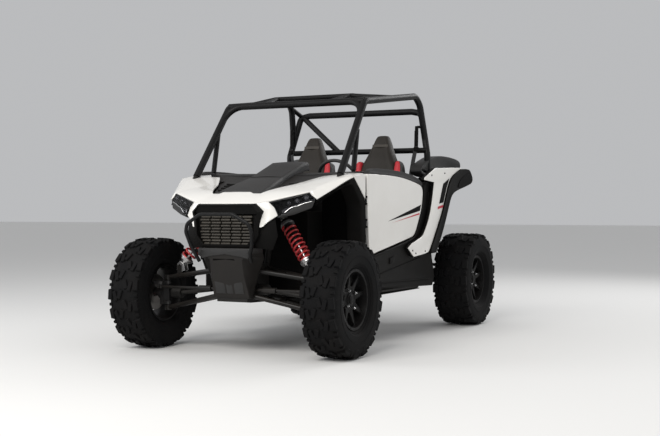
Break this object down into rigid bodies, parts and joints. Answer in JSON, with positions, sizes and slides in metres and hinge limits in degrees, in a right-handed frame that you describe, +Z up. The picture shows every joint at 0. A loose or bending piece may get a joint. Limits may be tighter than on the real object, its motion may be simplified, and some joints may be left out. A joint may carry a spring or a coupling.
{
  "type": "two-seat dune buggy",
  "caption": "Open two-seat off-road buggy with tube cage, lugged tyres, steered front wheels, hinged doors, bucket seats, exposed springs and a cargo bed.",
  "frame": {"origin": "on the ground, midway between the axles and on the centre plane", "axes": "+Z up, front faces -Y, the vehicle's left is +X"},
  "size_m": [1.6224, 3.0076, 1.7715],
  "materials": {
    "white_panel": "moulded gloss, warm white",
    "black_plastic": "grained black",
    "charcoal_plastic": "grained charcoal",
    "cage_steel": "satin black powder coat",
    "frame_steel": "satin black powder coat",
    "arm_steel": "semi-gloss black powder coat",
    "shaft_steel": "dark oiled steel",
    "knuckle_alloy": "dark casting",
    "black_alloy": "satin black alloy",
    "tyre_rubber": "dusty black rubber",
    "lamp_lens": "smoked clear lens",
    "tail_lens": "red lens",
    "spring_red": "gloss red coating",
    "damper_alloy": "machined",
    "seat_cover": "grained black vinyl",
    "engine_casting": "cast grey",
    "exhaust_steel": "heat dulled steel",
    "grip_rubber": "soft black grip"
  },
  "bodies": {
    "chassis": {"chassis_frame": "frame_steel", "skid_plate": "black_plastic", "floor_tub": "black_plastic", "roll_cage_front": "cage_steel", "roll_cage_rear": "cage_steel", "front_bumper": "cage_steel", "nose_plate": "charcoal_plastic", "grille": "black_plastic", "front_fascia": "white_panel", "front_fenders": "white_panel", "hood_panel": "charcoal_plastic", "headlights": "lamp_lens", "wheel_arches": "black_plastic", "dashboard": "charcoal_plastic", "seat_left": "seat_cover", "seat_right": "seat_cover", "rockers": "black_plastic", "rear_quarters": "white_panel", "rear_flares": "charcoal_plastic", "shoulder_intakes": "charcoal_plastic", "cargo_bed": "black_plastic", "engine_block": "engine_casting", "exhaust": "exhaust_steel", "tail_lights": "tail_lens", "front_arms": "arm_steel", "rear_arms": "arm_steel", "coil_springs": "spring_red", "dampers": "damper_alloy", "half_shafts": "shaft_steel"},
    "knuckle_left": {"knuckle_left": "knuckle_alloy"},
    "knuckle_right": {"knuckle_right": "knuckle_alloy"},
    "wheel_front_left": {"tyre_front_left": "tyre_rubber", "rim_front_left": "black_alloy"},
    "wheel_front_right": {"tyre_front_right": "tyre_rubber", "rim_front_right": "black_alloy"},
    "wheel_rear_left": {"tyre_rear_left": "tyre_rubber", "rim_rear_left": "black_alloy"},
    "wheel_rear_right": {"tyre_rear_right": "tyre_rubber", "rim_rear_right": "black_alloy"},
    "steering_wheel": {"steering_wheel": "grip_rubber"},
    "steering_rack": {"tie_rods": "arm_steel"},
    "door_left": {"door_panel_left": "white_panel", "door_trim_left": "charcoal_plastic"},
    "door_right": {"door_panel_right": "white_panel", "door_trim_right": "charcoal_plastic"}
  },
  "joints": [
    {"name": "steer_left", "type": "hinge", "parent": "chassis", "child": "knuckle_left", "pos_m": [0.585, -1.143, 0.362], "axis": [0, 0, 1], "range_deg": [-28, 28]},
    {"name": "steer_right", "type": "hinge", "parent": "chassis", "child": "knuckle_right", "pos_m": [-0.585, -1.143, 0.362], "axis": [0, 0, 1], "range_deg": [-28, 28]},
    {"name": "rack_slide", "type": "slide", "parent": "chassis", "child": "steering_rack", "axis": [1, 0, 0], "range_m": [-0.0431, 0.0431]},
    {"name": "steering_wheel_turn", "type": "hinge", "parent": "chassis", "child": "steering_wheel", "pos_m": [0.3, -0.4, 1.12], "axis": [0, 0.848, 0.5299], "range_deg": [-252, 252]},
    {"name": "roll_front_left", "type": "hinge", "parent": "knuckle_left", "child": "wheel_front_left", "pos_m": [0.6955, -1.143, 0.362], "axis": [1, 0, 0], "continuous": true},
    {"name": "roll_front_right", "type": "hinge", "parent": "knuckle_right", "child": "wheel_front_right", "pos_m": [-0.6955, -1.143, 0.362], "axis": [1, 0, 0], "continuous": true},
    {"name": "roll_rear_left", "type": "hinge", "parent": "chassis", "child": "wheel_rear_left", "pos_m": [0.6705, 1.143, 0.362], "axis": [1, 0, 0], "continuous": true},
    {"name": "roll_rear_right", "type": "hinge", "parent": "chassis", "child": "wheel_rear_right", "pos_m": [-0.6705, 1.143, 0.362], "axis": [1, 0, 0], "continuous": true},
    {"name": "door_left_swing", "type": "hinge", "parent": "chassis", "child": "door_left", "pos_m": [0.652, -0.704, 0.895], "axis": [0, 0, -1], "range_deg": [0, 70]},
    {"name": "door_right_swing", "type": "hinge", "parent": "chassis", "child": "door_right", "pos_m": [-0.652, -0.704, 0.895], "axis": [0, 0, 1], "range_deg": [0, 70]}
  ],
  "couplings": [
    {"joint": "steer_right", "follows": "steer_left", "ratio": 1},
    {"joint": "rack_slide", "follows": "steer_left", "m_per_rad": 0.088},
    {"joint": "steering_wheel_turn", "follows": "steer_left", "ratio": 9}
  ]
}
